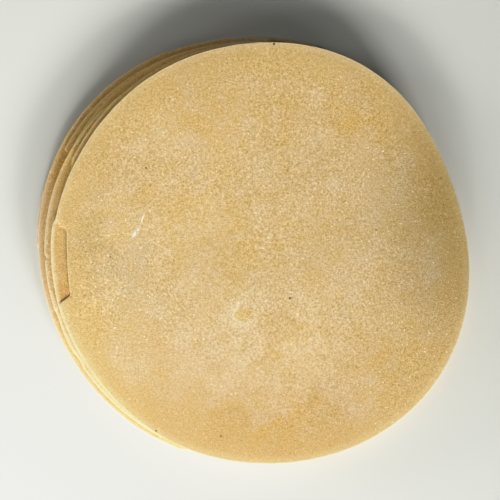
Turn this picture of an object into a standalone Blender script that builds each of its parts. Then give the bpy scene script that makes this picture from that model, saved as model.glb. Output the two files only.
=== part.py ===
"""A loose stack of eight raw papadums.

Each papadum is a thin dried round of dough, a little out of round, with a thin
rounded rim.  The lower ones are slid out towards -X and +Y, so that their rims
show there as narrow ledges.  A strip is broken off the rim of the top one, and
several of the others have smaller breaks and nicks.

Units are metres and +Z is up.  The stack rests on z = 0, and the origin is below
the middle of its bounding box.  Directions are degrees, anticlockwise from +X.
"""

import math
from collections import namedtuple

import bmesh
import bpy

MM = 0.001

# One papadum, away from its rim
SHEET_THICKNESS = 0.75 * MM
RIM_THICKNESS = 0.52 * MM
RIM_SLOPE = 2.6 * MM          # width over which the sheet thins towards its rim
RIM_ROUNDING = 0.24 * MM      # how far the rounded edge stands out from the thin rim

# The stack
SHEET_GAP = 0.35 * MM         # air between two neighbours where they lie flat
PITCH = SHEET_THICKNESS + SHEET_GAP
STACK_RADIUS = 88.0 * MM
LIFT_START = 0.35             # share of the stack's radius where a raised rim begins

# Slow undulation of the dried dough, which grows from the bottom papadum to the top one
WAVE_HEIGHT = 0.20 * MM
WAVE_LENGTH_X = 95.0 * MM
WAVE_LENGTH_Y = 120.0 * MM

# Fineness of the faceted solids
SPOKES = 90
RING_SHARES = (0.42, 0.80)    # rings between the middle and the rim, as shares of the radius

# A wave makes the outline out of round: that many bulges, each of that height.
Wave = namedtuple("Wave", "bulges height direction")

# A break takes a strip of that depth off the rim, from start to end; bow is the extra
# depth at its middle, and each ramp is the angle over which that end reaches full depth.
Break = namedtuple("Break", "start end depth bow start_ramp end_ramp")

# A lift raises the rim, and all that lies on it, round one direction.
Lift = namedtuple("Lift", "direction spread height")

Papadum = namedtuple("Papadum", "name radius middle waves breaks lifts colour")

# From the bottom to the top.  The middles are measured from one common point.
PAPADUMS = (
    Papadum(
        name="papadum_1",
        radius=85.0 * MM,
        middle=(-4.1 * MM, 6.1 * MM),
        waves=(Wave(2, 0.3 * MM, 84), Wave(3, 0.8 * MM, -38)),
        breaks=(Break(54.0, 72.4, 1.2 * MM, 0.0, 6.0, 0.8),),
        lifts=(),
        colour=(0.49, 0.32, 0.12),
    ),
    Papadum(
        name="papadum_2",
        radius=85.1 * MM,
        middle=(-7.7 * MM, 6.1 * MM),
        waves=(Wave(2, 0.6 * MM, -11), Wave(3, 1.4 * MM, 51)),
        breaks=(Break(180.5, 206.0, 0.9 * MM, 0.0, 2.5, 9.0),),
        lifts=(Lift(215, 60, 0.20 * MM),),
        colour=(0.53, 0.34, 0.13),
    ),
    Papadum(
        name="papadum_3",
        radius=87.1 * MM,
        middle=(-7.3 * MM, 4.3 * MM),
        waves=(Wave(2, 0.6 * MM, -72), Wave(3, 0.8 * MM, 24)),
        breaks=(
            Break(62.0, 84.2, 1.1 * MM, 0.0, 8.0, 0.7),
            Break(97.0, 112.8, 0.4 * MM, 0.0, 6.0, 0.8),
            Break(251.5, 274.0, 0.9 * MM, 0.0, 3.0, 8.0),
        ),
        lifts=(Lift(20, 75, 0.35 * MM),),
        colour=(0.60, 0.40, 0.15),
    ),
    Papadum(
        name="papadum_4",
        radius=85.0 * MM,
        middle=(-6.2 * MM, 4.9 * MM),
        waves=(Wave(2, 0.5 * MM, -29), Wave(3, 0.85 * MM, 32)),
        breaks=(Break(153.2, 197.5, 3.4 * MM, 0.0, 0.8, 2.5),),
        lifts=(Lift(290, 55, 0.25 * MM),),
        colour=(0.62, 0.44, 0.19),
    ),
    Papadum(
        name="papadum_5",
        radius=84.8 * MM,
        middle=(-5.0 * MM, 4.0 * MM),
        waves=(Wave(2, 0.4 * MM, -68), Wave(3, 0.45 * MM, 10)),
        breaks=(),
        lifts=(Lift(130, 45, 0.20 * MM),),
        colour=(0.57, 0.37, 0.14),
    ),
    Papadum(
        name="papadum_6",
        radius=84.5 * MM,
        middle=(-5.1 * MM, 1.2 * MM),
        waves=(Wave(2, 1.0 * MM, -18), Wave(3, 0.6 * MM, 29)),
        breaks=(
            Break(122.0, 137.0, 0.4 * MM, 0.0, 6.0, 0.7),
            Break(180.6, 182.6, 0.5 * MM, 0.0, 0.8, 0.8),
            Break(196.4, 203.5, 0.4 * MM, 0.0, 0.8, 4.0),
            Break(209.5, 214.5, 0.4 * MM, 0.0, 0.8, 2.0),
        ),
        lifts=(Lift(185, 50, 0.30 * MM),),
        colour=(0.65, 0.47, 0.21),
    ),
    Papadum(
        name="papadum_7",
        radius=84.8 * MM,
        middle=(-3.3 * MM, 2.2 * MM),
        waves=(Wave(2, 1.15 * MM, -76), Wave(3, 0.45 * MM, -57)),
        breaks=(Break(154.0, 174.0, 1.3 * MM, 0.0, 3.0, 5.0),),
        lifts=(Lift(330, 70, 0.30 * MM),),
        colour=(0.68, 0.47, 0.19),
    ),
    Papadum(
        name="papadum_8",
        radius=85.4 * MM,
        middle=(-1.25 * MM, 1.15 * MM),
        waves=(
            Wave(2, 1.20 * MM, -71),
            Wave(3, 1.20 * MM, -47),
            Wave(4, 0.60 * MM, -27),
            Wave(5, 0.28 * MM, -25),
            Wave(6, 0.23 * MM, 0),
        ),
        breaks=(Break(171.0, 194.9, 4.7 * MM, 1.3 * MM, 3.2, 2.0),),
        lifts=(Lift(45, 60, 0.40 * MM), Lift(205, 40, 0.15 * MM)),
        colour=(0.67, 0.46, 0.20),
    ),
)

ROUGHNESS = 0.7


def clear_scene():
    """Remove every object of the open file."""
    for thing in list(bpy.data.objects):
        bpy.data.objects.remove(thing, do_unlink=True)


def ease(share):
    """Rise smoothly from 0 to 1 while share goes from 0 to 1."""
    held = min(max(share, 0.0), 1.0)
    return held * held * (3.0 - 2.0 * held)


def degrees_apart(first, second):
    """Smallest angle between two directions."""
    return abs((first - second + 180.0) % 360.0 - 180.0)


def break_depth(gap, direction):
    """How much a break takes off the rim in one direction."""
    half = (gap.end - gap.start) / 2
    across = degrees_apart(direction, gap.start + half) / half
    if across >= 1.0:
        return 0.0
    bowed = gap.depth + gap.bow * (1.0 - across * across)
    from_start = (direction - gap.start) % 360.0
    from_end = (gap.end - direction) % 360.0
    return bowed * ease(from_start / gap.start_ramp) * ease(from_end / gap.end_ramp)


def rim_radius(papadum, direction):
    """Distance from a papadum's middle to its rim in one direction."""
    radius = papadum.radius
    for wave in papadum.waves:
        radius += wave.height * math.cos(math.radians(wave.bulges * (direction - wave.direction)))
    for gap in papadum.breaks:
        radius -= break_depth(gap, direction)
    return radius


def spoke_directions(papadum):
    """Even directions, with the corners of each break in place of the nearest ones."""
    corners = []
    for gap in papadum.breaks:
        corners.append(gap.start)
        corners.append(gap.start + gap.start_ramp)
        corners.append(gap.end - gap.end_ramp)
        corners.append(gap.end)
    step = 360.0 / SPOKES
    even = [step * spoke for spoke in range(SPOKES)]
    clear = [turn for turn in even if all(degrees_apart(turn, corner) > step / 2 for corner in corners)]
    return sorted(clear + corners)


def lift_height(lift, x, y):
    """How far one lift raises the point x, y of the stack."""
    away = degrees_apart(math.degrees(math.atan2(y, x)), lift.direction) / lift.spread
    around = (1.0 + math.cos(math.pi * min(away, 1.0))) / 2
    outward = ease((math.hypot(x, y) / STACK_RADIUS - LIFT_START) / (1.0 - LIFT_START))
    return lift.height * around * outward


def sheet_height(level, x, y):
    """Height of a papadum's mid-plane over its own resting height, at a point of the stack."""
    height = SHEET_THICKNESS / 2
    for below in PAPADUMS[: level + 1]:
        for lift in below.lifts:
            height += lift_height(lift, x, y)
    turn_x = 2 * math.pi * x / WAVE_LENGTH_X
    turn_y = 2 * math.pi * y / WAVE_LENGTH_Y
    share = level / (len(PAPADUMS) - 1)
    return height + share * WAVE_HEIGHT * math.sin(turn_x) * math.cos(turn_y)


def section_points(radius):
    """Half of a papadum's cross-section: out along the top, round the rim, back below."""
    half_sheet = SHEET_THICKNESS / 2
    half_rim = RIM_THICKNESS / 2
    inner = [(0.0, half_sheet)]
    inner += [(share * radius, half_sheet) for share in RING_SHARES]
    inner.append((radius - RIM_SLOPE, half_sheet))
    top = inner + [(radius - RIM_ROUNDING, half_rim)]
    below = [(reach, -height) for reach, height in reversed(top)]
    return top + [(radius, 0.0)] + below


def turn_section(points, spokes):
    """Turn the section once round +Z and close it at its middle."""
    body = bmesh.new()
    corners = [body.verts.new((reach, 0.0, height)) for reach, height in points]
    edges = [body.edges.new(pair) for pair in zip(corners, corners[1:])]
    bmesh.ops.spin(
        body,
        geom=corners + edges,
        cent=(0.0, 0.0, 0.0),
        axis=(0.0, 0.0, 1.0),
        angle=2 * math.pi,
        steps=spokes,
        use_merge=True,
    )
    bmesh.ops.remove_doubles(body, verts=body.verts, dist=0.01 * MM)
    bmesh.ops.recalc_face_normals(body, faces=body.faces)
    return body


def shape_papadum(body, papadum, level, directions):
    """Give the turned round its outline, its breaks and the way it lies."""
    step = 2 * math.pi / len(directions)
    middle_x, middle_y = papadum.middle
    for corner in body.verts:
        spoke = round(math.atan2(corner.co.y, corner.co.x) / step) % len(directions)
        direction = directions[spoke]
        share = math.hypot(corner.co.x, corner.co.y) / papadum.radius
        reach = share * rim_radius(papadum, direction)
        x = reach * math.cos(math.radians(direction))
        y = reach * math.sin(math.radians(direction))
        z = corner.co.z + sheet_height(level, middle_x + x, middle_y + y)
        corner.co = (x, y, z)


def dough_material(papadum):
    """Dried dough: matt and golden, a little different on each papadum."""
    material = bpy.data.materials.new(papadum.name + "_dough")
    material.use_nodes = True
    shader = material.node_tree.nodes["Principled BSDF"]
    shader.inputs["Base Color"].default_value = (*papadum.colour, 1.0)
    shader.inputs["Roughness"].default_value = ROUGHNESS
    shader.inputs["Metallic"].default_value = 0.0
    return material


def make_papadum(papadum, level, stack):
    """Build one papadum and set it down at its place in the stack."""
    directions = spoke_directions(papadum)
    body = turn_section(section_points(papadum.radius), len(directions))
    shape_papadum(body, papadum, level, directions)
    mesh = bpy.data.meshes.new(papadum.name)
    body.to_mesh(mesh)
    body.free()
    mesh.shade_smooth()
    mesh.set_sharp_from_angle(angle=math.radians(40))
    mesh.materials.append(dough_material(papadum))
    piece = bpy.data.objects.new(papadum.name, mesh)
    bpy.context.scene.collection.objects.link(piece)
    piece.location = (*papadum.middle, level * PITCH)
    piece.parent = stack
    return piece


def centre_stack(stack, pieces):
    """Move the stack so that the middle of its bounding box is above the origin."""
    reach_x = []
    reach_y = []
    for piece in pieces:
        reach_x += [piece.location.x + corner.co.x for corner in piece.data.vertices]
        reach_y += [piece.location.y + corner.co.y for corner in piece.data.vertices]
    stack.location.x = -(min(reach_x) + max(reach_x)) / 2
    stack.location.y = -(min(reach_y) + max(reach_y)) / 2


def build_stack():
    """Lay the papadums on each other from the bottom up."""
    clear_scene()
    stack = bpy.data.objects.new("stack", None)
    bpy.context.scene.collection.objects.link(stack)
    pieces = [make_papadum(papadum, level, stack) for level, papadum in enumerate(PAPADUMS)]
    centre_stack(stack, pieces)


build_stack()
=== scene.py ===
"""Looks of a loose stack of eight raw papadums, seen from nearly straight above.

Every papadum is turned from its cross-section, given its outline, its breaks and the way
it lies, and finished as dried lentil dough.  Lengths are metres, directions are degrees
anticlockwise from +X, and +Z is up.
"""

import math
from collections import namedtuple

import bmesh
import bpy
from mathutils import Matrix, Vector, noise


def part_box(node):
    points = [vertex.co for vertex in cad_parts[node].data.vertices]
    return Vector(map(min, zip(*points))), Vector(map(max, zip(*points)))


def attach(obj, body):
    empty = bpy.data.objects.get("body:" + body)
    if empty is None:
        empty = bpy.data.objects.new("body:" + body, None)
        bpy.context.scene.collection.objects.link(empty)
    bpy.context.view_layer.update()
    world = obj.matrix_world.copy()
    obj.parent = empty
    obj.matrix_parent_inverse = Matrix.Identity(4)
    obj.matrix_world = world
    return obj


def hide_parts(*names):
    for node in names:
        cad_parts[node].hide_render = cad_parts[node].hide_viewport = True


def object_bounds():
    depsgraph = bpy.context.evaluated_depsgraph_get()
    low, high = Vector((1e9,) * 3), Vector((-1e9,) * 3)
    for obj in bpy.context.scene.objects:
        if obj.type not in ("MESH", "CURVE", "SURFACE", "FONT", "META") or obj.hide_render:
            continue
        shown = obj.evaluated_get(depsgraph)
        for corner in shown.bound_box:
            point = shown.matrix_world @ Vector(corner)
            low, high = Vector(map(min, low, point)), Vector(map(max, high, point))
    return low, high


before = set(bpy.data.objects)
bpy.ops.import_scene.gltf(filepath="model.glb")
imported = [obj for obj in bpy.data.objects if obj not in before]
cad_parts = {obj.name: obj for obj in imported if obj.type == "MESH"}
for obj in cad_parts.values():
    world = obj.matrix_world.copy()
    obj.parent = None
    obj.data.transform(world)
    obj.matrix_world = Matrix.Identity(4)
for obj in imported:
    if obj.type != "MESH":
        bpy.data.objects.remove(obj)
solid_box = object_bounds()

MM = 0.001

# ---------------------------------------------------------------- the stack

# One papadum: its thickness away from the rim, and the rim
SHEET_THICKNESS = 0.75 * MM
RIM_SLOPE = 2.6 * MM          # width over which the sheet thins towards its rim
TOP_RIM_SLOPE = 6.5 * MM      # the same on the top papadum
RIM_ROUNDING = 0.07 * MM      # width of the rounding of the edge

# How they lie on each other
SHEET_GAP = 0.35 * MM
PITCH = SHEET_THICKNESS + SHEET_GAP
STACK_RADIUS = 88.0 * MM
LIFT_START = 0.35             # share of the stack's radius where a raised rim begins

# Slow undulation of the dried dough, which grows from the bottom papadum to the top one
WAVE_HEIGHT = 0.20 * MM
WAVE_LENGTH_X = 95.0 * MM
WAVE_LENGTH_Y = 120.0 * MM

# A wave makes the outline out of round: that many bulges, each of that height.
Wave = namedtuple("Wave", "bulges height direction")

# A break takes a strip of that depth off the rim, from start to end; bow is the extra
# depth at its middle, and each ramp is the angle over which that end reaches full depth.
Break = namedtuple("Break", "start end depth bow start_ramp end_ramp")

# A lift raises the rim, and all that lies on it, round one direction.
Lift = namedtuple("Lift", "direction spread height")

# A papadum may also lean up towards the one above it, which is a lift of its own alone.
Papadum = namedtuple("Papadum", "name radius middle waves breaks lifts lean golden beige rim")

# From the bottom to the top.  The middles are measured from one common point.
PAPADUMS = (
    Papadum(
        name="papadum_1",
        radius=85.0 * MM,
        middle=(-4.1 * MM, 6.1 * MM),
        waves=(Wave(2, 0.3 * MM, 84), Wave(3, 0.8 * MM, -38)),
        breaks=(Break(54.0, 72.4, 1.2 * MM, 0.0, 6.0, 0.8),),
        lifts=(),
        lean=None,
        golden=(0.60, 0.38, 0.120),
        beige=(0.64, 0.44, 0.170),
        rim=(0.74, 0.56, 0.29),
    ),
    Papadum(
        name="papadum_2",
        radius=85.1 * MM,
        middle=(-7.7 * MM, 6.1 * MM),
        waves=(Wave(2, 0.6 * MM, -11), Wave(3, 1.4 * MM, 51)),
        breaks=(Break(180.5, 206.0, 0.9 * MM, 0.0, 2.5, 9.0),),
        lifts=(Lift(215, 60, 0.20 * MM),),
        lean=None,
        golden=(0.62, 0.40, 0.130),
        beige=(0.66, 0.46, 0.180),
        rim=(0.74, 0.56, 0.30),
    ),
    Papadum(
        name="papadum_3",
        radius=87.1 * MM,
        middle=(-7.3 * MM, 4.3 * MM),
        waves=(Wave(2, 0.6 * MM, -72), Wave(3, 0.8 * MM, 24)),
        breaks=(
            Break(62.0, 84.2, 1.1 * MM, 0.0, 8.0, 0.7),
            Break(97.0, 112.8, 0.4 * MM, 0.0, 6.0, 0.8),
            Break(251.5, 274.0, 0.9 * MM, 0.0, 3.0, 8.0),
        ),
        lifts=(Lift(20, 75, 0.35 * MM),),
        lean=None,
        golden=(0.64, 0.42, 0.155),
        beige=(0.68, 0.49, 0.215),
        rim=(0.74, 0.575, 0.335),
    ),
    Papadum(
        name="papadum_4",
        radius=85.0 * MM,
        middle=(-6.2 * MM, 4.9 * MM),
        waves=(Wave(2, 0.5 * MM, -29), Wave(3, 0.85 * MM, 32)),
        breaks=(Break(153.2, 197.5, 3.4 * MM, 0.0, 0.8, 2.5),),
        lifts=(Lift(290, 55, 0.25 * MM),),
        lean=None,
        golden=(0.68, 0.46, 0.170),
        beige=(0.72, 0.53, 0.240),
        rim=(0.84, 0.67, 0.40),
    ),
    Papadum(
        name="papadum_5",
        radius=84.8 * MM,
        middle=(-5.0 * MM, 4.0 * MM),
        waves=(Wave(2, 0.4 * MM, -68), Wave(3, 0.45 * MM, 10)),
        breaks=(),
        lifts=(Lift(130, 45, 0.20 * MM),),
        lean=None,
        golden=(0.66, 0.44, 0.160),
        beige=(0.70, 0.50, 0.210),
        rim=(0.80, 0.63, 0.36),
    ),
    Papadum(
        name="papadum_6",
        radius=84.5 * MM,
        middle=(-5.1 * MM, 1.2 * MM),
        waves=(Wave(2, 1.0 * MM, -18), Wave(3, 0.6 * MM, 29)),
        breaks=(
            Break(122.0, 137.0, 0.4 * MM, 0.0, 6.0, 0.7),
            Break(180.6, 182.6, 0.5 * MM, 0.0, 0.8, 0.8),
            Break(196.4, 203.5, 0.4 * MM, 0.0, 0.8, 4.0),
            Break(209.5, 214.5, 0.4 * MM, 0.0, 0.8, 2.0),
        ),
        lifts=(Lift(185, 50, 0.30 * MM),),
        lean=None,
        golden=(0.66, 0.45, 0.165),
        beige=(0.72, 0.53, 0.240),
        rim=(0.84, 0.67, 0.40),
    ),
    Papadum(
        name="papadum_7",
        radius=84.8 * MM,
        middle=(-3.3 * MM, 2.2 * MM),
        waves=(Wave(2, 1.15 * MM, -76), Wave(3, 0.45 * MM, -57)),
        breaks=(Break(154.0, 174.0, 1.3 * MM, 0.0, 3.0, 5.0),),
        lifts=(Lift(330, 70, 0.30 * MM),),
        lean=Lift(194, 42, 0.66 * MM),
        golden=(0.67, 0.44, 0.160),
        beige=(0.71, 0.51, 0.230),
        rim=(0.84, 0.67, 0.38),
    ),
    Papadum(
        name="papadum_8",
        radius=85.4 * MM,
        middle=(-1.25 * MM, 1.15 * MM),
        waves=(
            Wave(2, 1.20 * MM, -71),
            Wave(3, 1.20 * MM, -47),
            Wave(4, 0.60 * MM, -27),
            Wave(5, 0.28 * MM, -25),
            Wave(6, 0.23 * MM, 0),
        ),
        breaks=(Break(171.0, 194.9, 4.7 * MM, 1.3 * MM, 3.2, 2.0),),
        lifts=(Lift(45, 60, 0.40 * MM), Lift(205, 40, 0.15 * MM)),
        lean=None,
        golden=(0.66, 0.445, 0.165),
        beige=(0.70, 0.520, 0.280),
        rim=(0.71, 0.530, 0.240),
    ),
)
TOP = len(PAPADUMS) - 1

# The top papadum is thinner round its notch, by that share of its thickness at the edge
# and less and less inwards, up to that reach from the edge
Thin = namedtuple("Thin", "direction spread share reach")
NOTCH_THIN = Thin(190.0, 40.0, 0.55, 22.0 * MM)

# The lifts that raise each papadum: its own, and those of all that lie below it
LIFTS = [
    [lift for below in PAPADUMS[: level + 1] for lift in below.lifts] for level in range(TOP + 1)
]
for level, papadum in enumerate(PAPADUMS):
    if papadum.lean:
        LIFTS[level].append(papadum.lean)

# Fineness of the turned rounds: steps round the rim, and rings from the rim inwards
TURN_STEP = 0.5
CORNER_STEP = 0.2             # step at the sharp ends of a break
SHARP_RAMP = 3.5              # a ramp shorter than this is a sharp end
CORNER_MARGIN = 0.3           # how far the closer steps reach past a sharp end
DOUBLINGS = 4                 # times that a turned sector is copied on to make the round
MERGE_DISTANCE = 0.002 * MM   # points closer than this become one
EDGE_RINGS = (0.0, 0.015, 0.035, 0.06, 0.1, 0.22, 0.45, 0.75, 1.15, 1.6, 2.1, 2.7, 3.5, 4.4, 5.5)
SHOWN_RING_STEP = 1.0         # millimetres between the rings of the top papadum
HIDDEN_RINGS = (7.5, 11.0, 17.0, 27.0, 42.0, 62.0)

# Chance ripples of the rim, in and out of the smooth outline; the seed sets them apart
Ripple = namedtuple("Ripple", "height length seed")
SLOW_RIPPLE = Ripple(0.10 * MM, 7.0 * MM, 1.0)
QUICK_RIPPLE = Ripple(0.07 * MM, 2.2 * MM, 11.0)
BROKEN_RIPPLE = Ripple(0.16 * MM, 1.7 * MM, 21.0)
SEED_STEP = (7.3, 3.1, 5.7)

# Half the thickness where the rounding of the rim starts, on the top papadum and on the
# lower ones, which thin less, and at a broken edge
TOP_ROUNDED_EDGE = 0.305 * MM
ROUNDED_EDGE = 0.350 * MM
BROKEN_EDGE = 0.24 * MM
BROKEN_ROUNDING = 0.06 * MM   # width of the rounding of a broken edge
FULLY_BROKEN = 0.5 * MM       # where that much is missing, the edge is a broken one
RIM_FALL = 2.2                # the higher, the nearer the edge the sheet thins

# Relief of the dried surface: heights and lengths of its bumps
RELIEF = ((0.022 * MM, 16.0 * MM), (0.008 * MM, 7.0 * MM), (0.004 * MM, 3.2 * MM))
RELIEF_STEP = 3.7             # sets the relief of each papadum apart from the next one's
HIDDEN_RELIEF = 0.6           # share of that relief on the lower papadums


def ease(share):
    """Rise smoothly from 0 to 1 while share goes from 0 to 1."""
    held = min(max(share, 0.0), 1.0)
    return held * held * (3.0 - 2.0 * held)


def degrees_apart(first, second):
    """Smallest angle between two directions."""
    return abs((first - second + 180.0) % 360.0 - 180.0)


def break_depth(gap, direction):
    """How much a break takes off the rim in one direction."""
    half = (gap.end - gap.start) / 2
    across = degrees_apart(direction, gap.start + half) / half
    if across >= 1.0:
        return 0.0
    bowed = gap.depth + gap.bow * (1.0 - across * across)
    from_start = (direction - gap.start) % 360.0
    from_end = (gap.end - direction) % 360.0
    return bowed * ease(from_start / gap.start_ramp) * ease(from_end / gap.end_ramp)


def whole_radius(papadum, direction):
    """Distance from a papadum's middle to its rim before anything broke off."""
    radius = papadum.radius
    for wave in papadum.waves:
        radius += wave.height * math.cos(math.radians(wave.bulges * (direction - wave.direction)))
    return radius


def broken_off(papadum, direction):
    """Depth of what is missing from the rim in one direction."""
    return sum(break_depth(gap, direction) for gap in papadum.breaks)


def wobble(ripple, direction, papadum, level):
    """How far a ripple moves the rim of one papadum in one direction."""
    turn = math.radians(direction)
    place = Vector((math.cos(turn), math.sin(turn), 0.0)) * papadum.radius / ripple.length
    seed = level + ripple.seed
    return ripple.height * noise.noise(place + Vector([seed * step for step in SEED_STEP]))


def sheet_height(level, x, y):
    """Height of a papadum's mid-plane over its own resting height, at a point of the stack."""
    height = SHEET_THICKNESS / 2
    outward = ease((math.hypot(x, y) / STACK_RADIUS - LIFT_START) / (1.0 - LIFT_START))
    if outward > 0.0:
        direction = math.degrees(math.atan2(y, x))
        for lift in LIFTS[level]:
            away = degrees_apart(direction, lift.direction) / lift.spread
            if away < 1.0:
                height += lift.height * outward * (1.0 + math.cos(math.pi * away)) / 2
    turn_x = 2 * math.pi * x / WAVE_LENGTH_X
    turn_y = 2 * math.pi * y / WAVE_LENGTH_Y
    share = level / TOP
    return height + share * WAVE_HEIGHT * math.sin(turn_x) * math.cos(turn_y)


def surface_relief(level, x, y):
    """Low bumps and hollows of the dried dough."""
    if level == 0:
        return 0.0
    share = 1.0 if level == TOP else HIDDEN_RELIEF
    height = 0.0
    for tall, length in RELIEF:
        height += tall * noise.noise(Vector((x / length, y / length, level * RELIEF_STEP)))
    return share * height


def turn_directions(papadum):
    """Directions of the spokes, closer together at the sharp ends of each break."""
    corners = []
    for gap in papadum.breaks:
        if gap.start_ramp < SHARP_RAMP:
            corners.append((gap.start, gap.start + gap.start_ramp))
        if gap.end_ramp < SHARP_RAMP:
            corners.append((gap.end - gap.end_ramp, gap.end))
    directions = []
    direction = 0.0
    while direction < 360.0 - CORNER_STEP / 2:
        directions.append(direction)
        sharp = any(
            low - CORNER_MARGIN <= direction <= high + CORNER_MARGIN for low, high in corners
        )
        direction += CORNER_STEP if sharp else TURN_STEP
    while len(directions) % 2 ** DOUBLINGS:
        gaps = [second - first for first, second in zip(directions, directions[1:])]
        widest = gaps.index(max(gaps))
        directions.insert(widest + 1, (directions[widest] + directions[widest + 1]) / 2)
    return directions


def thinned(level, direction, inset):
    """Share of the thickness that the top papadum lacks round its notch."""
    away = degrees_apart(direction, NOTCH_THIN.direction) / NOTCH_THIN.spread
    if level != TOP or away >= 1.0:
        return 0.0
    share = NOTCH_THIN.share * (1.0 + math.cos(math.pi * away)) / 2
    return share * (1.0 - ease(inset / NOTCH_THIN.reach))


def edge_half_thickness(level, inset, broken):
    """Half the thickness at a distance from the edge; broken goes from 0 to 1."""
    whole = TOP_ROUNDED_EDGE if level == TOP else ROUNDED_EDGE
    thin = whole + (BROKEN_EDGE - whole) * broken
    rounding = RIM_ROUNDING + (BROKEN_ROUNDING - RIM_ROUNDING) * broken
    slope = TOP_RIM_SLOPE if level == TOP else RIM_SLOPE
    outward = min(max((slope - inset) / (slope - rounding), 0.0), 1.0)
    half = SHEET_THICKNESS / 2 - (SHEET_THICKNESS / 2 - thin) * outward ** RIM_FALL
    if inset < rounding:
        short = 1.0 - inset / rounding
        half *= math.sqrt(max(1.0 - short * short, 0.0))
    return half


def section_rings(papadum, shown):
    """Distances of the rings from the edge, in metres, from the edge to the middle."""
    rings = [ring * MM for ring in EDGE_RINGS]
    if not shown:
        return rings + [ring * MM for ring in HIDDEN_RINGS]
    reach = rings[-1] + SHOWN_RING_STEP * MM
    while reach < papadum.radius - SHOWN_RING_STEP * MM:
        rings.append(reach)
        reach += SHOWN_RING_STEP * MM
    return rings


def turn_section(papadum, shown, spokes):
    """Turn the cross-section through one sector, copy that on round +Z, and close it."""
    half = SHEET_THICKNESS / 2
    upper = section_rings(papadum, shown)
    lower = section_rings(papadum, False)
    points = [(0.0, half)]
    points += [(papadum.radius - ring, half) for ring in reversed(upper[1:])]
    points += [(papadum.radius, 0.0)]
    points += [(papadum.radius - ring, -half) for ring in lower[1:]]
    points += [(0.0, -half)]
    body = bmesh.new()
    corners = [body.verts.new((reach, 0.0, height)) for reach, height in points]
    edges = [body.edges.new(pair) for pair in zip(corners, corners[1:])]
    turned = 2 * math.pi / 2 ** DOUBLINGS
    bmesh.ops.spin(
        body,
        geom=corners + edges,
        cent=(0.0, 0.0, 0.0),
        axis=(0.0, 0.0, 1.0),
        angle=turned,
        steps=spokes // 2 ** DOUBLINGS,
    )
    for _ in range(DOUBLINGS):
        made = body.verts[:] + body.edges[:] + body.faces[:]
        copy = bmesh.ops.duplicate(body, geom=made)["geom"]
        copied = [part for part in copy if isinstance(part, bmesh.types.BMVert)]
        turning = Matrix.Rotation(turned, 3, "Z")
        bmesh.ops.rotate(body, verts=copied, cent=(0.0, 0.0, 0.0), matrix=turning)
        turned *= 2
    bmesh.ops.remove_doubles(body, verts=body.verts, dist=MERGE_DISTANCE)
    bmesh.ops.recalc_face_normals(body, faces=body.faces)
    return body


def spoke_facts(papadum, level, directions):
    """For each spoke: its direction, the rim's distance, what is broken off, and how broken."""
    facts = []
    for direction in directions:
        whole = whole_radius(papadum, direction)
        missing = broken_off(papadum, direction)
        broken = ease(missing / FULLY_BROKEN)
        edge = whole - missing
        edge += wobble(SLOW_RIPPLE, direction, papadum, level)
        edge += wobble(QUICK_RIPPLE, direction, papadum, level)
        edge += broken * wobble(BROKEN_RIPPLE, direction, papadum, level)
        facts.append((math.radians(direction), edge, missing, broken))
    return facts


def shape_papadum(body, papadum, level, directions):
    """Give the turned round its outline, its rim, its breaks and the way it lies."""
    rim_distance = body.verts.layers.float.new("rim_distance")
    edge_distance = body.verts.layers.float.new("edge_distance")
    facts = spoke_facts(papadum, level, directions)
    step = 2 * math.pi / len(directions)
    middle_x, middle_y = papadum.middle
    for corner in body.verts:
        spoke = round(math.atan2(corner.co.y, corner.co.x) / step) % len(directions)
        turn, edge, missing, broken = facts[spoke]
        share = math.hypot(corner.co.x, corner.co.y) / papadum.radius
        reach = share * edge
        inset = edge - reach
        x = middle_x + reach * math.cos(turn)
        y = middle_y + reach * math.sin(turn)
        side = (corner.co.z > 0.0) - (corner.co.z < 0.0)
        z = level * PITCH + sheet_height(level, x, y)
        half = edge_half_thickness(level, inset, broken)
        z += side * half * (1.0 - thinned(level, math.degrees(turn), inset))
        if side > 0:
            z += surface_relief(level, x, y)
        corner.co = (x, y, z)
        corner[rim_distance] = (inset + missing) / MM
        corner[edge_distance] = inset / MM


def outline_middle(papadum):
    """Middle of the box round a papadum's outline, measured from the common point."""
    reach_x = []
    reach_y = []
    for direction in range(360):
        reach = whole_radius(papadum, direction) - broken_off(papadum, direction)
        reach_x.append(papadum.middle[0] + reach * math.cos(math.radians(direction)))
        reach_y.append(papadum.middle[1] + reach * math.sin(math.radians(direction)))
    return Vector(((min(reach_x) + max(reach_x)) / 2, (min(reach_y) + max(reach_y)) / 2, 0.0))


def common_point():
    """Where the common point of the stack is in the frame, from the solids' own boxes."""
    total = Vector((0.0, 0.0, 0.0))
    for papadum in PAPADUMS:
        low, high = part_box(papadum.name)
        total += (low + high) / 2 - outline_middle(papadum)
    total /= len(PAPADUMS)
    total.z = 0.0
    return total


def make_papadum(papadum, level, centre):
    """Build one papadum in its place and let it stand for its solid."""
    directions = turn_directions(papadum)
    body = turn_section(papadum, level == TOP, len(directions))
    shape_papadum(body, papadum, level, directions)
    bmesh.ops.translate(body, verts=body.verts, vec=centre)
    mesh = bpy.data.meshes.new(papadum.name + "_dough")
    body.to_mesh(mesh)
    body.free()
    mesh.shade_smooth()
    piece = bpy.data.objects.new(papadum.name + "_dough", mesh)
    bpy.context.scene.collection.objects.link(piece)
    mesh.materials.append(dough_material(papadum, level, centre))
    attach(piece, "root")
    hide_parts(papadum.name)


# ---------------------------------------------------------------- finishes

# Fineness of the patterns in the dough, per metre
GRAIN_FINENESS = 2300.0
COARSE_FINENESS = 920.0
FLECK_FINENESS = 1000.0
FLAKE_FINENESS = 1300.0
PRESS_FINENESS = 300.0
MOTTLE_FINENESS = 230.0
CLOUD_FINENESS = 80.0
DRYING_FINENESS = 38.0
WIDE_FINENESS = 27.0

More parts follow.
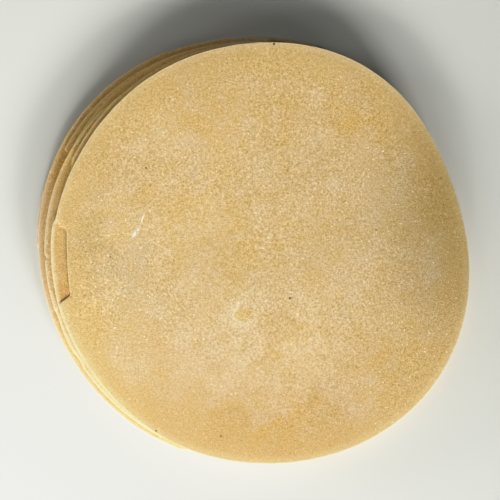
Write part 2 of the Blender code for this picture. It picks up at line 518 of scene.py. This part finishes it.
# Gains that bring the clouds to about -1 to 1, and how strong the grains and flecks are
CLOUD_GAIN = 4.0
MOTTLE_GAIN = 3.6
FINE_GRAIN = 6.2
COARSE_GRAIN = 2.6
LIGHT_FLECK = 2.2
DARK_FLECK = 1.6
GRAIN_RELIEF = 0.35           # relief of the grains beside that of the light flecks

# Flecks: their radius in shares of the space that each has, the width of their soft edge,
# and the chance values between which a fleck becomes a light one or a dark one
FLECK_RADIUS = (0.15, 0.45)
FLECK_SOFTNESS = 0.18
LIGHT_CHANCE = (0.82, 0.94)
DARK_CHANCE = (0.92, 0.98)

# Zones in millimetres from the rim or the edge, full up to the first and ended at the second
GOLDEN_ZONE = (6.0, 19.0)
SMOOTH_ZONE = (3.0, 14.0)
EDGE_ZONE = (0.15, 0.75)
SIDE_ZONE = (0.01, 0.06)
PALE_ZONE = (0.4, 1.3)        # in shares of the pale width
PALE_SWAY = 1.6               # gain of the noise that sways the pale and smooth zones
GOLDEN_SWAY = 24.0            # and the golden one
TOP_PALE_WIDTH = 2.8
PALE_WIDTH = 1.6

# How far the clouds of each size carry the dough from golden to beige
WIDE_SHARE = 0.21
CLOUD_SHARE = 0.29
MOTTLE_SHARE = 0.37
EVEN_SHARE = 0.50             # and how far it is without them

# How much of each zone's colour shows, the cream of the edge, partly a painted highlight, and the
# painted shade of its side face
GOLDEN_COVER = 0.80
PALE_COVER = 0.85
TOP_EDGE_COVER = 0.40
EDGE_COVER = 0.60
# Cream of the edge: partly the thin edge's own paleness, partly a painted highlight
EDGE_CREAM_AND_HIGHLIGHT = (0.84, 0.72, 0.52)
# Painted shade, brown, on the side face of the edge
SIDE_FACE_PAINTED_SHADE = (0.52, 0.35, 0.15)

# Strength of the grain in lightness and in colour, and how much weaker it is in each zone
GRAIN_LIGHT = 0.21
GRAIN_FADING = 0.10
DRYING_LIGHT = 0.045
SMOOTH_CALM = 0.25
PALE_CALM = 0.255
# calmer grain painted on the top papadum's brightly lit side
PAINTED_LIT_CALM = 0.32

# The surface: roughness and its change with the mottle, height of the grain, shine
ROUGHNESS = 0.78
MOTTLE_ROUGHNESS = 0.06
GRAIN_HEIGHT = 0.010 * MM
SHINE = 0.15

# How much light the dough lets through, and how deep: on the top papadum, in the notch on
# the one below it, and on the others
TOP_GLOW = (0.20, 0.6 * MM)
NOTCH_GLOW = (0.50, 1.2 * MM)
LOWER_GLOW = (0.40, 1.0 * MM)
GLOW_REACH = (1.0, 0.75, 0.45)    # of red, green and blue

OWN_STEP = (0.31, 0.17, 0.05)     # sets the dough of each papadum apart from the next one's
DRYING_STEP = (0.9, 0.4, 0.2)     # sets the drying apart from the clouds


def add_node(tree, kind, **settings):
    """Put a node of that kind into a tree and set its properties."""
    node = tree.nodes.new(kind)
    for name, value in settings.items():
        setattr(node, name, value)
    return node


def math_node(tree, operation, first, second=None, clamp=False):
    """Put in one step of arithmetic, on sockets or plain numbers, and return its result."""
    node = add_node(tree, "ShaderNodeMath", operation=operation, use_clamp=clamp)
    for place, value in enumerate((first, second)):
        if value is None:
            continue
        if isinstance(value, (int, float)):
            node.inputs[place].default_value = value
        else:
            tree.links.new(value, node.inputs[place])
    return node.outputs[0]


def scaled(tree, value, factor):
    """Multiply a value by a plain number."""
    return math_node(tree, "MULTIPLY", value, factor)


def ramp_node(tree, value, limits, start=0.0, end=1.0):
    """Carry a value smoothly from start to end while it goes from one limit to the other."""
    node = add_node(tree, "ShaderNodeMapRange", interpolation_type="SMOOTHSTEP", clamp=True)
    node.inputs["From Min"].default_value = limits[0]
    node.inputs["From Max"].default_value = limits[1]
    node.inputs["To Min"].default_value = start
    node.inputs["To Max"].default_value = end
    tree.links.new(value, node.inputs["Value"])
    return node.outputs["Result"]


def colour_mix(tree, share, first, second, blend="MIX"):
    """Mix two colours, given as sockets or as linear red, green and blue."""
    node = add_node(tree, "ShaderNodeMix", data_type="RGBA", blend_type=blend)
    tree.links.new(share, node.inputs[0])
    for place, value in ((6, first), (7, second)):
        if isinstance(value, tuple):
            node.inputs[place].default_value = (*value, 1.0)
        else:
            tree.links.new(value, node.inputs[place])
    return node.outputs[2]


def noise_node(tree, place, fineness, detail=2.0):
    """Put in a cloudy noise of one fineness, about 0.5 on average."""
    node = add_node(tree, "ShaderNodeTexNoise")
    node.inputs["Scale"].default_value = fineness
    node.inputs["Detail"].default_value = detail
    tree.links.new(place, node.inputs["Vector"])
    return node


def signed_noise(tree, place, fineness, gain, detail=2.0):
    """Noise that goes below and above zero."""
    raw = noise_node(tree, place, fineness, detail).outputs["Fac"]
    return scaled(tree, math_node(tree, "SUBTRACT", raw, 0.5), gain)


def new_group(name, inputs, outputs):
    """Start a shader node group with its named sockets."""
    group = bpy.data.node_groups.new(name, "ShaderNodeTree")
    for title, kind in inputs:
        group.interface.new_socket(name=title, in_out="INPUT", socket_type=kind)
    for title, kind in outputs:
        group.interface.new_socket(name=title, in_out="OUTPUT", socket_type=kind)
    entry = group.nodes.new("NodeGroupInput")
    result = group.nodes.new("NodeGroupOutput")
    return group, entry, result


def dough_grain_group():
    """Coarse flour in the dough: light and dark grains, and their relief."""
    group, entry, result = new_group(
        "dough_grain",
        [("Vector", "NodeSocketVector")],
        [("Tone", "NodeSocketFloat"), ("Relief", "NodeSocketFloat")],
    )
    place = entry.outputs["Vector"]
    fine = signed_noise(group, place, GRAIN_FINENESS, FINE_GRAIN, detail=1.0)
    coarse = signed_noise(group, place, COARSE_FINENESS, COARSE_GRAIN, detail=1.0)
    grain = math_node(group, "ADD", fine, coarse)
    flecks = add_node(group, "ShaderNodeTexVoronoi", feature="F1")
    flecks.inputs["Scale"].default_value = FLECK_FINENESS
    group.links.new(place, flecks.inputs["Vector"])
    chance = add_node(group, "ShaderNodeSeparateColor")
    group.links.new(flecks.outputs["Color"], chance.inputs["Color"])
    radius = ramp_node(group, chance.outputs["Blue"], (0.0, 1.0), *FLECK_RADIUS)
    inside = math_node(group, "SUBTRACT", radius, flecks.outputs["Distance"])
    spot = ramp_node(group, inside, (0.0, FLECK_SOFTNESS))
    light = ramp_node(group, chance.outputs["Red"], LIGHT_CHANCE)
    light = math_node(group, "MULTIPLY", spot, light)
    dark = ramp_node(group, chance.outputs["Green"], DARK_CHANCE)
    dark = math_node(group, "MULTIPLY", spot, dark)
    tone = math_node(group, "ADD", grain, scaled(group, light, LIGHT_FLECK))
    tone = math_node(group, "SUBTRACT", tone, scaled(group, dark, DARK_FLECK))
    group.links.new(tone, result.inputs["Tone"])
    raised = math_node(group, "ADD", scaled(group, grain, GRAIN_RELIEF), light)
    group.links.new(raised, result.inputs["Relief"])
    return group


def cloudy_dough_group():
    """Uneven dough: wide zones, clouds, a fine mottle and uneven drying, each about -1 to 1."""
    sizes = (
        ("Wide", WIDE_FINENESS, CLOUD_GAIN),
        ("Clouds", CLOUD_FINENESS, CLOUD_GAIN),
        ("Mottle", MOTTLE_FINENESS, MOTTLE_GAIN),
        ("Drying", DRYING_FINENESS, CLOUD_GAIN),
    )
    group, entry, result = new_group(
        "cloudy_dough",
        [("Vector", "NodeSocketVector")],
        [(title, "NodeSocketFloat") for title, fineness, gain in sizes],
    )
    apart = add_node(group, "ShaderNodeMapping")
    apart.inputs["Location"].default_value = DRYING_STEP
    group.links.new(entry.outputs["Vector"], apart.inputs["Vector"])
    for title, fineness, gain in sizes:
        place = (apart if title == "Drying" else entry).outputs["Vector"]
        group.links.new(signed_noise(group, place, fineness, gain), result.inputs[title])
    return group


def rim_zones_group():
    """Pale rim, golden and smooth border, cream edge that is partly a painted highlight, and its
    side face for painted shade, from millimetres.
    """
    group, entry, result = new_group(
        "rim_zones",
        [
            ("Vector", "NodeSocketVector"),
            ("Rim Distance", "NodeSocketFloat"),
            ("Edge Distance", "NodeSocketFloat"),
            ("Pale Width", "NodeSocketFloat"),
        ],
        [
            ("Pale", "NodeSocketFloat"),
            ("Golden", "NodeSocketFloat"),
            ("Smooth", "NodeSocketFloat"),
            ("Edge", "NodeSocketFloat"),
            ("Side", "NodeSocketFloat"),
        ],
    )
    place = entry.outputs["Vector"]
    rim_distance = entry.outputs["Rim Distance"]
    edge_distance = entry.outputs["Edge Distance"]
    sway = signed_noise(group, place, MOTTLE_FINENESS, PALE_SWAY)
    swaying = math_node(group, "ADD", rim_distance, sway)
    inward = math_node(group, "DIVIDE", swaying, entry.outputs["Pale Width"])
    drift = signed_noise(group, place, CLOUD_FINENESS, GOLDEN_SWAY)
    border = math_node(group, "ADD", rim_distance, drift)
    for title, distance, zone in (
        ("Pale", inward, PALE_ZONE),
        ("Golden", border, GOLDEN_ZONE),
        ("Smooth", swaying, SMOOTH_ZONE),
        ("Edge", edge_distance, EDGE_ZONE),
        ("Side", edge_distance, SIDE_ZONE),
    ):
        group.links.new(ramp_node(group, distance, zone, 1.0, 0.0), result.inputs[title])
    return group


def round_mark_group():
    """A round or long mark, in its own lengths: 1 up to the inner and 0 from the outer one."""
    group, entry, result = new_group(
        "round_mark",
        [("Vector", "NodeSocketVector"), ("Inner", "NodeSocketFloat"), ("Outer", "NodeSocketFloat")],
        [("Mask", "NodeSocketFloat")],
    )
    length = add_node(group, "ShaderNodeVectorMath", operation="LENGTH")
    group.links.new(entry.outputs["Vector"], length.inputs[0])
    fade = add_node(group, "ShaderNodeMapRange", interpolation_type="SMOOTHSTEP", clamp=True)
    group.links.new(length.outputs["Value"], fade.inputs["Value"])
    group.links.new(entry.outputs["Inner"], fade.inputs["From Min"])
    group.links.new(entry.outputs["Outer"], fade.inputs["From Max"])
    fade.inputs["To Min"].default_value = 1.0
    fade.inputs["To Max"].default_value = 0.0
    group.links.new(fade.outputs["Result"], result.inputs["Mask"])
    return group


GRAIN = dough_grain_group()
CLOUDS = cloudy_dough_group()
RIM_ZONES = rim_zones_group()
ROUND_MARK = round_mark_group()

# Marks, in millimetres from the common point.  Each fades between two shares of its half
# length and width, and with the depth below the top of the stack.
MARK_DEPTH = 4.0 * MM         # depth that counts as much as one half length
SOFT_FADE = (0.3, 1.2)

# A speck is a round dark grain; its size is half its width
Speck = namedtuple("Speck", "x y size colour")
BLACK = (0.040, 0.022, 0.008)
BROWN = (0.26, 0.13, 0.045)
SPECKS = (
    Speck(-49.0, 35.3, 0.40, BLACK),
    Speck(9.7, -17.9, 0.48, BLACK),
    Speck(3.4, 86.9, 0.50, BLACK),
    Speck(44.8, 9.8, 0.36, BLACK),
    Speck(-63.2, -1.2, 0.32, BLACK),
    Speck(-18.1, -73.2, 0.45, BROWN),
    Speck(-44.2, -71.2, 0.40, BROWN),
    Speck(-47.2, -71.6, 0.40, BROWN),
)
SPECK_FADE = (0.6, 1.3)

# A scratch is a long pale streak of small flakes
Scratch = namedtuple("Scratch", "x y half_length half_width direction")
SCRATCHES = (
    Scratch(-53.0, 8.8, 3.2, 1.0, 56.0),
    Scratch(-50.4, 14.2, 4.0, 0.40, 71.0),
)
SCRATCH_COLOUR = (0.97, 0.90, 0.77)
FLAKE_LIMITS = (0.40, 0.56)   # of the noise, between which the flakes come out
BETWEEN_FLAKES = 0.15         # how much of a scratch shows between its flakes

# Uneven dough of the top papadum, and a darker left side: patches with their half lengths and
# strength
Patch = namedtuple("Patch", "x y half_x half_y share colour")
PATCH_FADE = (0.2, 1.25)
PATCH_WANDER = 14.0           # how far the outlines of the patches wander, in millimetres
DEEP_GOLDEN = (0.67, 0.425, 0.120)
GOLDEN_BROWN = (0.57, 0.40, 0.155)
SANDY = (0.69, 0.535, 0.315)
GREY_SANDY = (0.61, 0.460, 0.245)
PALE_SANDY = (0.80, 0.61, 0.36)
PATCHES = (
    Patch(-6.0, 62.0, 62.0, 24.0, 0.35, DEEP_GOLDEN),
    Patch(1.0, -72.0, 34.0, 18.0, 0.95, DEEP_GOLDEN),
    Patch(37.0, 56.0, 13.0, 12.0, 0.80, DEEP_GOLDEN),
    Patch(-31.0, 55.0, 17.0, 12.0, 0.40, DEEP_GOLDEN),
    Patch(52.0, -46.0, 22.0, 15.0, 0.50, DEEP_GOLDEN),
    Patch(-12.5, 8.0, 17.0, 15.0, 0.40, DEEP_GOLDEN),
    # This patch and the grey sandy one make the top papadum darker towards its left
    Patch(-73.0, 6.0, 15.0, 32.0, 0.75, GOLDEN_BROWN),
    Patch(-12.5, -70.0, 10.0, 7.0, 0.60, GOLDEN_BROWN),
    Patch(-56.0, -3.0, 15.0, 22.0, 0.70, GREY_SANDY),
    Patch(-31.0, 31.0, 10.0, 10.0, 0.70, SANDY),
    Patch(67.0, 2.0, 9.0, 18.0, 0.60, SANDY),
    Patch(-8.0, -35.0, 46.0, 26.0, 0.45, PALE_SANDY),
)

# The round press mark: its pale ring, the brown line inside that, and its golden heart
PRESS_MARK = (
    (Patch(-10.2, -24.9, 8.4, 6.9, 0.65, (0.83, 0.68, 0.43)), (0.40, 1.2)),
    (Patch(-8.5, -24.0, 4.5, 3.7, 0.45, (0.66, 0.47, 0.24)), (0.85, 1.05)),
    (Patch(-8.9, -24.3, 4.1, 3.3, 0.90, (0.73, 0.50, 0.20)), (0.80, 1.10)),
)
PRESS_WANDER = 1.4            # how far its outlines wander, in millimetres

# Painted shade on the papadum below the notch: browner along the notch's long side and at its lower
# end
NOTCH_PAINTED_SHADE = (
    Patch(-81.6, -4.5, 2.6, 12.5, 0.75, (0.90, 0.84, 0.70)),
    Patch(-82.0, -15.4, 3.4, 4.6, 0.85, (0.84, 0.74, 0.55)),
)

# Sides where shade or light is painted onto the dough: two sides of the top papadum,
# and two of the lower papadums
Side = namedtuple("Side", "spot half fade depth shade")
# Painted shade, a little yellow, on the right of the top papadum
RIGHT_PAINTED_SHADE = Side((76.0, 18.0), (38.0, 60.0), (0.15, 1.2), MARK_DEPTH, (0.63, 0.62, 0.54))
# A slightly warmer tint painted on the top papadum's brightly lit lower side, where its grain is
# painted calmer too
PAINTED_LIT_SIDE = Side((-20.0, -82.0), (92.0, 62.0), SOFT_FADE, MARK_DEPTH, (1.0, 0.970, 0.975))
# Painted warm bounce light: the shaded upper left of the lower papadums made lighter and more golden
PAINTED_BOUNCE_LIGHT = Side((-53.0, 58.0), (54.0, 50.0), (0.6, 1.15), 100.0 * MM, (1.14, 1.04, 0.74))
# Painted shade, browner, on the lower left of the lower papadums, which faces the light
LOWER_LEFT_PAINTED_SHADE = Side((-70.0, -75.0), (60.0, 60.0), (0.3, 1.0), MARK_DEPTH, (0.74, 0.68, 0.60))


def mark_mask(tree, place, centre, spot, half, fade, turn=0.0, depth=MARK_DEPTH):
    """Mask of one mark, measured along and across it and down from the top of the stack."""
    around = add_node(tree, "ShaderNodeMapping", vector_type="TEXTURE")
    around.inputs["Location"].default_value = (
        centre.x + spot[0] * MM,
        centre.y + spot[1] * MM,
        solid_box[1].z,
    )
    around.inputs["Rotation"].default_value = (0.0, 0.0, turn)
    around.inputs["Scale"].default_value = (half[0] * MM, half[1] * MM, depth)
    tree.links.new(place, around.inputs["Vector"])
    mark = add_node(tree, "ShaderNodeGroup", node_tree=ROUND_MARK)
    tree.links.new(around.outputs["Vector"], mark.inputs["Vector"])
    mark.inputs["Inner"].default_value = fade[0]
    mark.inputs["Outer"].default_value = fade[1]
    return mark.outputs["Mask"]


def side_mask(tree, place, centre, side):
    """Mask of one side where shade or light is painted."""
    return mark_mask(tree, place, centre, side.spot, side.half, side.fade, depth=side.depth)


def add_side_shade(tree, place, centre, colour, level):
    """Paint shade or light onto two sides of the top papadum, or two sides of a lower one."""
    for side in (RIGHT_PAINTED_SHADE, PAINTED_LIT_SIDE) if level == TOP else (PAINTED_BOUNCE_LIGHT, LOWER_LEFT_PAINTED_SHADE):
        mask = side_mask(tree, place, centre, side)
        colour = colour_mix(tree, mask, colour, side.shade, blend="MULTIPLY")
    return colour


def add_patch(tree, place, centre, colour, patch, fade, blend="MIX"):
    """Lay one patch over the dough."""
    spot = (patch.x, patch.y)
    mask = mark_mask(tree, place, centre, spot, (patch.half_x, patch.half_y), fade)
    return colour_mix(tree, scaled(tree, mask, patch.share), colour, patch.colour, blend)


def wandering(tree, place, fineness, reach):
    """Coordinates that wander by up to that reach in millimetres."""
    wander = noise_node(tree, place, fineness)
    centred = add_node(tree, "ShaderNodeVectorMath", operation="SUBTRACT")
    centred.inputs[1].default_value = (0.5, 0.5, 0.5)
    tree.links.new(wander.outputs["Color"], centred.inputs[0])
    widened = add_node(tree, "ShaderNodeVectorMath", operation="SCALE")
    widened.inputs["Scale"].default_value = 2.0 * reach * MM
    tree.links.new(centred.outputs["Vector"], widened.inputs[0])
    moved = add_node(tree, "ShaderNodeVectorMath", operation="ADD")
    tree.links.new(place, moved.inputs[0])
    tree.links.new(widened.outputs["Vector"], moved.inputs[1])
    return moved.outputs["Vector"]


def add_patches(tree, place, centre, colour):
    """Lay golden and sandy patches with wandering outlines over the top papadum's dough."""
    moved = wandering(tree, place, CLOUD_FINENESS, PATCH_WANDER)
    for patch in PATCHES:
        colour = add_patch(tree, moved, centre, colour, patch, PATCH_FADE)
    return colour


def add_press_mark(tree, place, centre, colour):
    """Lay the round press mark over the dough: a pale ring round a golden heart."""
    moved = wandering(tree, place, PRESS_FINENESS, PRESS_WANDER)
    for part, fade in PRESS_MARK:
        colour = add_patch(tree, moved, centre, colour, part, fade)
    return colour


def add_notch_painted_shade(tree, place, centre, colour):
    """Lay the painted shade over the dough below the notch."""
    for shade_spot in NOTCH_PAINTED_SHADE:
        colour = add_patch(tree, place, centre, colour, shade_spot, SOFT_FADE, blend="MULTIPLY")
    return colour


def add_top_marks(tree, place, centre, colour):
    """Lay the scratches and the specks over the dough."""
    raw = noise_node(tree, place, FLAKE_FINENESS).outputs["Fac"]
    flakes = ramp_node(tree, raw, FLAKE_LIMITS, BETWEEN_FLAKES, 1.0)
    for scratch in SCRATCHES:
        spot = (scratch.x, scratch.y)
        half = (scratch.half_length, scratch.half_width)
        turn = math.radians(scratch.direction)
        streak = mark_mask(tree, place, centre, spot, half, SOFT_FADE, turn=turn)
        flaked = math_node(tree, "MULTIPLY", streak, flakes)
        colour = colour_mix(tree, flaked, colour, SCRATCH_COLOUR)
    for speck in SPECKS:
        half = (speck.size, speck.size)
        spot = mark_mask(tree, place, centre, (speck.x, speck.y), half, SPECK_FADE)
        colour = colour_mix(tree, spot, colour, speck.colour)
    return colour


def place_zones(tree, own_place, level):
    """Zones of the rim and the edge, from the distances that the mesh carries."""
    zones = add_node(tree, "ShaderNodeGroup", node_tree=RIM_ZONES)
    tree.links.new(own_place, zones.inputs["Vector"])
    for title, kept in (("Rim Distance", "rim_distance"), ("Edge Distance", "edge_distance")):
        distance = add_node(tree, "ShaderNodeAttribute", attribute_name=kept)
        tree.links.new(distance.outputs["Fac"], zones.inputs[title])
    zones.inputs["Pale Width"].default_value = TOP_PALE_WIDTH if level == TOP else PALE_WIDTH
    return zones.outputs


def dough_colour(tree, place, centre, papadum, level, clouds, zones):
    """Golden and beige clouds, then the border, the rim and the edge, then painted shade and light
    on the sides and below the notch, and marks.
    """
    wide = scaled(tree, clouds["Wide"], WIDE_SHARE)
    middle = scaled(tree, clouds["Clouds"], CLOUD_SHARE)
    small = scaled(tree, clouds["Mottle"], MOTTLE_SHARE)
    cloud = math_node(tree, "ADD", math_node(tree, "ADD", wide, middle), small)
    share = math_node(tree, "ADD", cloud, EVEN_SHARE, clamp=True)
    colour = colour_mix(tree, share, papadum.golden, papadum.beige)
    if level == TOP:
        colour = add_patches(tree, place, centre, colour)
    for title, cover, zone_colour in (
        ("Golden", GOLDEN_COVER, papadum.golden),
        ("Pale", PALE_COVER, papadum.rim),
        # The edge's cream is partly a painted highlight
        ("Edge", TOP_EDGE_COVER if level == TOP else EDGE_COVER, EDGE_CREAM_AND_HIGHLIGHT),
    ):
        colour = colour_mix(tree, scaled(tree, zones[title], cover), colour, zone_colour)
    # Painted shade on the side face of the edge
    colour = colour_mix(tree, zones["Side"], colour, SIDE_FACE_PAINTED_SHADE)
    # Painted shade and light on two sides of this papadum
    colour = add_side_shade(tree, place, centre, colour, level)
    if level == TOP:
        colour = add_press_mark(tree, place, centre, colour)
    # Painted shade on the papadum below the notch
    if level == TOP - 1:
        colour = add_notch_painted_shade(tree, place, centre, colour)
    return colour


def grain_strength(tree, place, centre, level, zones):
    """How strong the grain is: weaker at the smooth rim, and calmer as painted on the top one's
    brightly lit side.
    """
    smooth = scaled(tree, zones["Smooth"], SMOOTH_CALM)
    strength = math_node(tree, "SUBTRACT", 1.0, smooth)
    pale = scaled(tree, zones["Pale"], PALE_CALM)
    strength = math_node(tree, "SUBTRACT", strength, pale)
    if level == TOP:
        # Calmer grain painted on the top papadum's brightly lit side
        lit_side_calm = scaled(tree, side_mask(tree, place, centre, PAINTED_LIT_SIDE), PAINTED_LIT_CALM)
        strength = math_node(tree, "MULTIPLY", strength, math_node(tree, "SUBTRACT", 1.0, lit_side_calm))
    return strength


def add_grain(tree, colour, tone, drying):
    """Make the dough lighter or darker, and a little paler or stronger, grain by grain."""
    grains = scaled(tree, tone, GRAIN_LIGHT)
    lightness = math_node(tree, "ADD", grains, scaled(tree, drying, DRYING_LIGHT))
    fading = scaled(tree, tone, GRAIN_FADING)
    shade = add_node(tree, "ShaderNodeHueSaturation")
    tree.links.new(math_node(tree, "ADD", lightness, 1.0), shade.inputs["Value"])
    tree.links.new(math_node(tree, "SUBTRACT", 1.0, fading), shade.inputs["Saturation"])
    tree.links.new(colour, shade.inputs["Color"])
    return shade.outputs["Color"]


def dough_material(papadum, level, centre):
    """Dried lentil dough, a little different on each papadum."""
    material = bpy.data.materials.new(papadum.name + "_dried_dough")
    material.use_nodes = True
    tree = material.node_tree
    place = add_node(tree, "ShaderNodeTexCoord").outputs["Object"]
    own = add_node(tree, "ShaderNodeMapping")
    own.inputs["Location"].default_value = [level * step for step in OWN_STEP]
    tree.links.new(place, own.inputs["Vector"])
    clouds = add_node(tree, "ShaderNodeGroup", node_tree=CLOUDS)
    grain = add_node(tree, "ShaderNodeGroup", node_tree=GRAIN)
    for node in (clouds, grain):
        tree.links.new(own.outputs["Vector"], node.inputs["Vector"])
    zones = place_zones(tree, own.outputs["Vector"], level)

    colour = dough_colour(tree, place, centre, papadum, level, clouds.outputs, zones)
    strength = grain_strength(tree, place, centre, level, zones)
    tone = math_node(tree, "MULTIPLY", grain.outputs["Tone"], strength)
    colour = add_grain(tree, colour, tone, clouds.outputs["Drying"])
    if level == TOP:
        colour = add_top_marks(tree, place, centre, colour)

    rough = scaled(tree, clouds.outputs["Mottle"], MOTTLE_ROUGHNESS)
    bump = add_node(tree, "ShaderNodeBump")
    bump.inputs["Strength"].default_value = 1.0
    bump.inputs["Distance"].default_value = GRAIN_HEIGHT
    relief = math_node(tree, "MULTIPLY", grain.outputs["Relief"], strength)
    tree.links.new(relief, bump.inputs["Height"])

    shader = tree.nodes["Principled BSDF"]
    tree.links.new(colour, shader.inputs["Base Color"])
    tree.links.new(math_node(tree, "ADD", rough, ROUGHNESS, clamp=True), shader.inputs["Roughness"])
    tree.links.new(bump.outputs["Normal"], shader.inputs["Normal"])
    glow, depth = {TOP: TOP_GLOW, TOP - 1: NOTCH_GLOW}.get(level, LOWER_GLOW)
    shader.inputs["Specular IOR Level"].default_value = SHINE
    shader.inputs["Subsurface Weight"].default_value = glow
    shader.inputs["Subsurface Radius"].default_value = GLOW_REACH
    shader.inputs["Subsurface Scale"].default_value = depth
    return material


# ---------------------------------------------------------------- floor, light and camera

# Light above the start is shown darker than it is, up to the brightest, which is white;
# each pair is a light and how it is shown
HIGHLIGHT_START = 0.72
BRIGHTEST = 4.0
HIGHLIGHTS = (
    (0.2, 0.2),
    (0.4, 0.4),
    (0.6, 0.6),
    (0.7, 0.7),
    (0.85, 0.81),
    (1.0, 0.875),
    (1.3, 0.935),
    (1.8, 0.975),
    (2.6, 0.995),
)

FLOOR_RADIUS = 1.2
FLOOR_SIDES = 128
FLOOR_COLOUR = (0.72, 0.73, 0.665)
FLOOR_ROUGHNESS = 0.9
FLOOR_SHINE = 0.1

# A low and wide window of light, strongest from -Y: soft panels, and lamps whose light ends
# softly before the right side of the stack
LIGHT_DISTANCE = 1.6
PANEL_HEIGHT = 0.20
PANEL_WIDTH = 0.50
LAMP_RADIUS = 0.14
LAMP_CONE = 24.0
LAMP_FADE = 4.0 * MM          # where the lamps' light begins to fade, right of the middle
LAMP_END = 80.0 * MM          # and where it ends
Light = namedtuple("Light", "direction elevation power")
PANELS = (
    Light(170.0, 12.0, 8.3),
    Light(170.0, 45.0, 0.8),
    Light(210.0, 14.0, 4.7),
    Light(233.0, 20.0, 2.4),
    Light(255.0, 16.0, 8.5),
    Light(277.0, 15.0, 16.0),
    Light(299.0, 14.0, 37.0),
    Light(321.0, 14.0, 6.2),
)
LAMPS = (
    Light(240.0, 15.0, 5.0),
    Light(251.0, 15.0, 27.0),
    Light(262.0, 15.0, 100.0),
)
ROOM_COLOUR = (1.0, 0.98, 0.95)
ROOM_LIGHT = 0.02
ROOM_SEEN = 0.55              # how bright the room looks behind the floor

CAMERA_TILT = 4.5             # degrees off straight down
CAMERA_DISTANCE = 0.450
CAMERA_LENS = 79.7            # millimetres, for the sensor below
CAMERA_SENSOR = 36.0
CAMERA_AIM = (-6.50 * MM, 1.63 * MM, SHEET_THICKNESS + TOP * PITCH)


def make_floor():
    """Plain pale round floor."""
    body = bmesh.new()
    bmesh.ops.create_circle(body, cap_ends=True, radius=FLOOR_RADIUS, segments=FLOOR_SIDES)
    mesh = bpy.data.meshes.new("floor")
    body.to_mesh(mesh)
    body.free()
    floor = bpy.data.objects.new("floor", mesh)
    bpy.context.scene.collection.objects.link(floor)
    material = bpy.data.materials.new("pale_floor")
    material.use_nodes = True
    shader = material.node_tree.nodes["Principled BSDF"]
    shader.inputs["Base Color"].default_value = (*FLOOR_COLOUR, 1.0)
    shader.inputs["Roughness"].default_value = FLOOR_ROUGHNESS
    shader.inputs["Specular IOR Level"].default_value = FLOOR_SHINE
    mesh.materials.append(material)


def light_place(light):
    """Where a light stands."""
    turn = math.radians(light.direction)
    rise = math.radians(light.elevation)
    flat = LIGHT_DISTANCE * math.cos(rise)
    return Vector((flat * math.cos(turn), flat * math.sin(turn), LIGHT_DISTANCE * math.sin(rise)))


def set_light(data, place, target):
    """Stand a light in its place, out of the camera's sight, and aim it."""
    lamp = bpy.data.objects.new(data.name, data)
    bpy.context.scene.collection.objects.link(lamp)
    lamp.location = place
    lamp.rotation_euler = (target - place).to_track_quat("-Z", "Y").to_euler()
    lamp.visible_camera = False


def make_panel(light):
    """One soft panel of the window of light, facing the stack."""
    data = bpy.data.lights.new("window_panel", "AREA")
    data.shape = "RECTANGLE"
    data.size = PANEL_WIDTH
    data.size_y = PANEL_HEIGHT
    data.energy = light.power
    set_light(data, light_place(light), Vector((0.0, 0.0, 0.0)))


def make_lamp(light):
    """One lamp whose light fades out to the right of the stack's middle."""
    data = bpy.data.lights.new("window_lamp", "SPOT")
    data.shadow_soft_size = LAMP_RADIUS
    cone = math.radians(LAMP_CONE / 2)
    shift = LIGHT_DISTANCE * math.tan(cone) - LAMP_END
    bright = math.cos(math.atan((shift + LAMP_FADE) / LIGHT_DISTANCE))
    data.spot_size = 2 * cone
    data.spot_blend = (bright - math.cos(cone)) / (1.0 - math.cos(cone))
    data.energy = light.power
    place = light_place(light)
    across = Vector((-place.y, place.x, 0.0)).normalized()
    set_light(data, place, -across * shift)


def make_room():
    """Dim even light from all round, which looks pale behind the floor."""
    world = bpy.data.worlds.new("room")
    bpy.context.scene.world = world
    world.use_nodes = True
    tree = world.node_tree
    background = tree.nodes["Background"]
    seen = add_node(tree, "ShaderNodeLightPath").outputs["Is Camera Ray"]
    strength = ramp_node(tree, seen, (0.0, 1.0), ROOM_LIGHT, ROOM_SEEN)
    background.inputs["Color"].default_value = (*ROOM_COLOUR, 1.0)
    tree.links.new(strength, background.inputs["Strength"])


def make_camera(centre):
    """Camera nearly straight above, framed as the photo is."""
    tilt = math.radians(CAMERA_TILT)
    forward = Vector((0.0, math.sin(tilt), -math.cos(tilt)))
    upward = Vector((0.0, math.cos(tilt), math.sin(tilt)))
    data = bpy.data.cameras.new("camera")
    data.lens = CAMERA_LENS
    data.sensor_width = CAMERA_SENSOR
    camera = bpy.data.objects.new("camera", data)
    bpy.context.scene.collection.objects.link(camera)
    place = centre + Vector(CAMERA_AIM) - forward * CAMERA_DISTANCE
    columns = Matrix((Vector((1.0, 0.0, 0.0)), upward, -forward)).transposed()
    camera.matrix_world = Matrix.Translation(place) @ columns.to_4x4()
    bpy.context.scene.camera = camera


def soften_highlights():
    """Show plain colours, with the brightest light rolled off softly as a camera does."""
    view = bpy.context.scene.view_settings
    view.view_transform = "Standard"
    view.look = "None"
    view.use_curve_mapping = True
    mapping = view.curve_mapping
    mapping.extend = "HORIZONTAL"
    mapping.white_level = (BRIGHTEST, BRIGHTEST, BRIGHTEST)
    curve = mapping.curves[3]
    for light, shown in HIGHLIGHTS:
        point = curve.points.new(light / BRIGHTEST, shown)
        point.handle_type = "VECTOR" if light < HIGHLIGHT_START else "AUTO"
    mapping.update()


def build_scene():
    """Make the stack, the floor, the light and the camera."""
    centre = common_point()
    for level, papadum in enumerate(PAPADUMS):
        make_papadum(papadum, level, centre)
    make_floor()
    for light in PANELS:
        make_panel(light)
    for light in LAMPS:
        make_lamp(light)
    make_room()
    make_camera(centre)
    soften_highlights()


build_scene()
